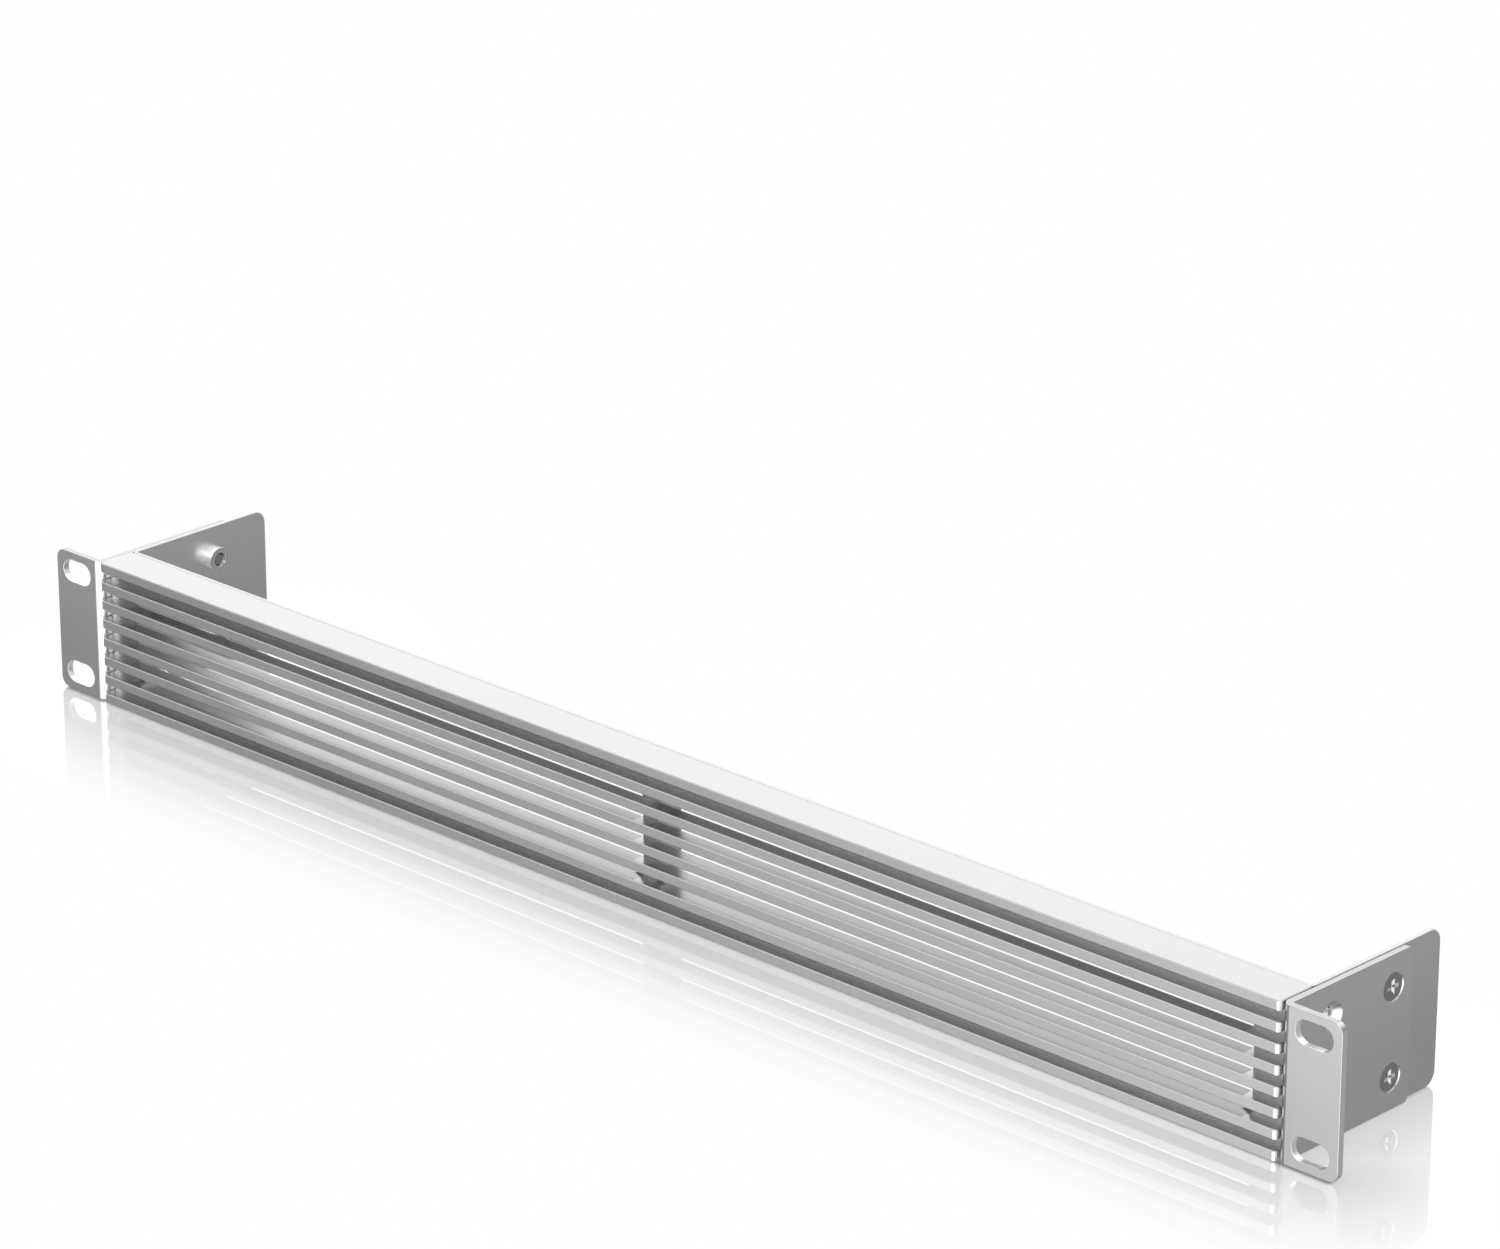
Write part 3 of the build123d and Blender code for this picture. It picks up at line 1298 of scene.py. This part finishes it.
@dataclass
class Studio:
    """White sweep, soft light and the camera of the photograph."""

    azimuth: float = 43.87
    elevation: float = 21.07
    distance: float = 1613.7 * MM
    target: Point = (41.16 * MM, -2.0 * MM, 72.66 * MM)
    lens: float = 148.25
    sensor: float = 36.0
    clip: Span = (0.05, 30.0)
    side_light: float = 0.44
    corner_light: float = 0.147
    corner_turn: Span = (-0.1, 0.2)
    front_light: float = 2.98
    front_azimuth: float = 20.0
    front_turn: Span = (0.33, 0.82)
    back_light: float = 1.48
    back_azimuth: float = 240.0
    back_turn: Span = (0.30, 0.95)
    back_rise: Span = (-0.05, 0.20)
    top_light: float = 1.5
    top_rise: Span = (0.45, 0.70)
    floor_size: float = 6.0
    floor_colour: Colour = (0.98, 0.98, 0.98)
    mirror: float = 0.53
    mirror_span: Span = (-25.0 * MM, 56.0 * MM)
    mirror_roughness: float = 0.04
    shadow: float = 0.33
    shadow_end: float = 60.0 * MM
    contact: float = 0.7
    contact_end: float = 1.5 * MM
    ear_painted_shadow: float = 0.46
    ear_painted_shadow_end: float = 1.9 * MM
    ear_painted_shadow_colour: Colour = (0.02, 0.02, 0.02)
    ear_corner: float = 3.0 * MM
    sheet: float = 2.0 * MM

    def back(self) -> Vector:
        """Return the direction from the target to the camera."""
        turn, rise = math.radians(self.azimuth), math.radians(self.elevation)
        level = math.cos(rise)
        return Vector((math.sin(turn) * level, -math.cos(turn) * level, math.sin(rise)))

    @staticmethod
    def heading(azimuth: float) -> Point:
        """Return a level direction, 0 degrees to the panel's front and 90 to its right."""
        turn = math.radians(azimuth)
        return math.sin(turn), -math.cos(turn), 0.0

    def camera(self) -> None:
        """Put the camera where the photograph was taken from."""
        data = bpy.data.cameras.new("camera")
        data.lens = self.lens
        data.sensor_width = self.sensor
        data.clip_start, data.clip_end = self.clip
        holder = bpy.data.objects.new("camera", data)
        holder.location = Vector(self.target) + self.back() * self.distance
        holder.rotation_mode = "QUATERNION"
        holder.rotation_quaternion = (-self.back()).to_track_quat("-Z", "Y")
        bpy.context.scene.collection.objects.link(holder)
        bpy.context.scene.camera = holder

    def world(self) -> None:
        """Light the panel from large soft boxes in front, behind and above."""
        world = bpy.data.worlds.new("studio")
        world.use_nodes = True
        world.cycles.sampling_method = "NONE"
        bpy.context.scene.world = world
        desk = NodeDesk(world.node_tree)
        direction = desk.node("ShaderNodeTexCoord", output="Generated")
        rise = desk.axis(direction, UP)
        forward = desk.axis(direction, self.heading(self.front_azimuth))
        backward = desk.axis(direction, self.heading(self.back_azimuth))
        corner = forward.ease(*self.corner_turn) * (self.side_light - self.corner_light)
        side = self.side_light - corner
        front = forward.ease(*self.front_turn) * (self.front_light - self.side_light)
        behind = backward.ease(*self.back_turn) * rise.ease(*self.back_rise)
        behind = behind * (self.back_light - self.side_light)
        above = rise.ease(*self.top_rise) * (self.top_light - self.side_light)
        boxes = side + front.most(behind).most(above)
        ray = desk.node("ShaderNodeLightPath", output="Is Glossy Ray")
        ray = ray * (1.0 - desk.node("ShaderNodeLightPath", output="Diffuse Depth").least(1.0))
        strength = ray * boxes + (1.0 - ray)
        light = desk.node("ShaderNodeBackground", None, {"Color": WHITE, "Strength": strength})
        desk.node("ShaderNodeOutputWorld", None, {"Surface": light})

    @staticmethod
    def clearance(desk: NodeDesk, place: Signal, box: Box) -> Signal:
        """Return how far a place on the floor is from a box that stands on it.

        Args:
            desk: The floor material's desk.
            place: The place.
            box: The lowest and the highest corner of the box.

        Returns:
            The distance, 0 under the box.
        """
        middle, half = (box[0] + box[1]) / 2, (box[1] - box[0]) / 2
        across = (abs(desk.axis(place, ACROSS) - middle.x) - half.x).most(0.0)
        along = (abs(desk.axis(place, ALONG) - middle.y) - half.y).most(0.0)
        return (across * across + along * along) ** 0.5

    def footprint(self, low: Vector, high: Vector) -> list[Box]:
        """Find the boxes that stand on the floor, the ears without their round corners.

        Args:
            low: The panel's lowest corner.
            high: The panel's highest corner.

        Returns:
            The boxes of the bar, the left and right wing and the left and right ear.
        """
        bar_low, bar_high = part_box("front_grille")
        wing_low, wing_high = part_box("rear_frame")
        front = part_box("left_bracket")[0].y
        back = front + self.sheet
        return [
            (bar_low, bar_high),
            (wing_low, Vector((wing_low.x + self.sheet, wing_high.y, high.z))),
            (Vector((wing_high.x - self.sheet, wing_low.y, low.z)), wing_high),
            (
                Vector((low.x + self.ear_corner, front, low.z)),
                Vector((bar_low.x, back, high.z)),
            ),
            (
                Vector((bar_high.x, front, low.z)),
                Vector((high.x - self.ear_corner, back, high.z)),
            ),
        ]

    def floor(self, low: Vector, high: Vector) -> None:
        """Lay the glossy white floor that fades to plain white away from the panel, with a painted
        shadow round the ears' feet.

        Args:
            low: The panel's lowest corner.
            high: The panel's highest corner.
        """
        Bench.clear()
        bpy.ops.mesh.primitive_plane_add(size=self.floor_size, location=(0.0, 0.0, low.z))
        floor = bpy.context.active_object
        floor.name = "studio_floor"
        floor.visible_glossy = False
        material = bpy.data.materials.new("studio_floor")
        material.use_nodes = True
        desk = NodeDesk(material.node_tree)
        place = desk.place()
        bar, left_wing, right_wing, left_ear, right_ear = (
            self.clearance(desk, place, box) for box in self.footprint(low, high)
        )
        ears = left_ear.least(right_ear)
        away = bar.least(ears).least(left_wing).least(right_wing)
        gloss = (1.0 - away.ease(*self.mirror_span)) * self.mirror
        shadow = (1.0 - away.ease(0.0, self.shadow_end)) * self.shadow
        shadow = shadow + (1.0 - away.ease(0.0, self.contact_end)) * self.contact
        # Painted shadow: a near-black floor colour in a thin band round the ears' feet.
        under = (1.0 - ears.ease(0.0, self.ear_painted_shadow_end)) * self.ear_painted_shadow
        matt = desk.node("ShaderNodeBsdfDiffuse", None, {"Color": self.floor_colour})
        painted_shadow = desk.node("ShaderNodeBsdfDiffuse", None, {"Color": self.ear_painted_shadow_colour})
        mirror = desk.node(
            "ShaderNodeBsdfGlossy", None, {"Color": WHITE, "Roughness": self.mirror_roughness}
        )
        white = desk.node("ShaderNodeEmission", None, {"Color": WHITE, "Strength": 1.0})
        lit = desk.node("ShaderNodeMixShader", None, {0: shadow, 1: white, 2: matt})
        surface = desk.node("ShaderNodeMixShader", None, {0: gloss, 1: lit, 2: mirror})
        surface = desk.node("ShaderNodeMixShader", None, {0: under, 1: surface, 2: painted_shadow})
        desk.node("ShaderNodeOutputMaterial", None, {"Surface": surface})
        floor.data.materials.append(material)
        floor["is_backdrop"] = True

    def build(self, low: Vector, high: Vector) -> None:
        """Set up the whole studio round the panel.

        Args:
            low: The panel's lowest corner.
            high: The panel's highest corner.
        """
        self.camera()
        self.world()
        self.floor(low, high)
        bpy.context.scene.view_settings.view_transform = "Standard"
        LOG.info("studio ready")


# ---------------------------------------------------------------- the panel


@dataclass
class BlankingPanel:
    """The whole panel, one entry for each sub-assembly."""

    grille: DressedSolids = field(
        default_factory=lambda: DressedSolids(
            ("front_grille",),
            BlastedAluminium("blasted_aluminium", (0.597, 0.602, 0.613), 0.30),
        )
    )
    sheet_frame: EasedSolids = field(
        default_factory=lambda: EasedSolids(
            ("rear_frame",),
            SatinLacquer(
                "frame_lacquer",
                (0.597, 0.602, 0.613),
                0.30,
                painted_reflection_gain=(0.92, 1.06),
                rim_shade_gain=1.0,
            ),
            "frame_paint",
            0.25 * MM,
        )
    )
    brackets: Brackets = field(
        default_factory=lambda: Brackets(
            ("left_bracket", "right_bracket"),
            SatinLacquer("bracket_lacquer", (0.572, 0.577, 0.588), 0.30),
            "bracket_paint",
            0.06 * MM,
            spare_holes=False,
        )
    )
    bracket_screws: BracketScrews = field(default_factory=BracketScrews)
    captive_nuts: CaptiveNuts = field(default_factory=CaptiveNuts)
    grille_screws: GrilleScrews = field(default_factory=GrilleScrews)

    def build(self) -> list[str]:
        """Build and dress every sub-assembly in order.

        Returns:
            The names of all the pieces.
        """
        parts = (
            self.grille,
            self.sheet_frame,
            self.brackets,
            self.bracket_screws,
            self.captive_nuts,
            self.grille_screws,
        )
        return [name for part in parts for name in part.build()]


def main() -> None:
    """Measure the solids' bounds, build the panel and the studio, and log how many pieces there
    are.
    """
    logging.basicConfig(level=logging.INFO, format="%(name)s %(message)s")
    cad_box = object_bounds()
    names = BlankingPanel().build()
    Studio().build(*cad_box)
    LOG.info("%d pieces", len(names))


if __name__ == "__main__":
    main()
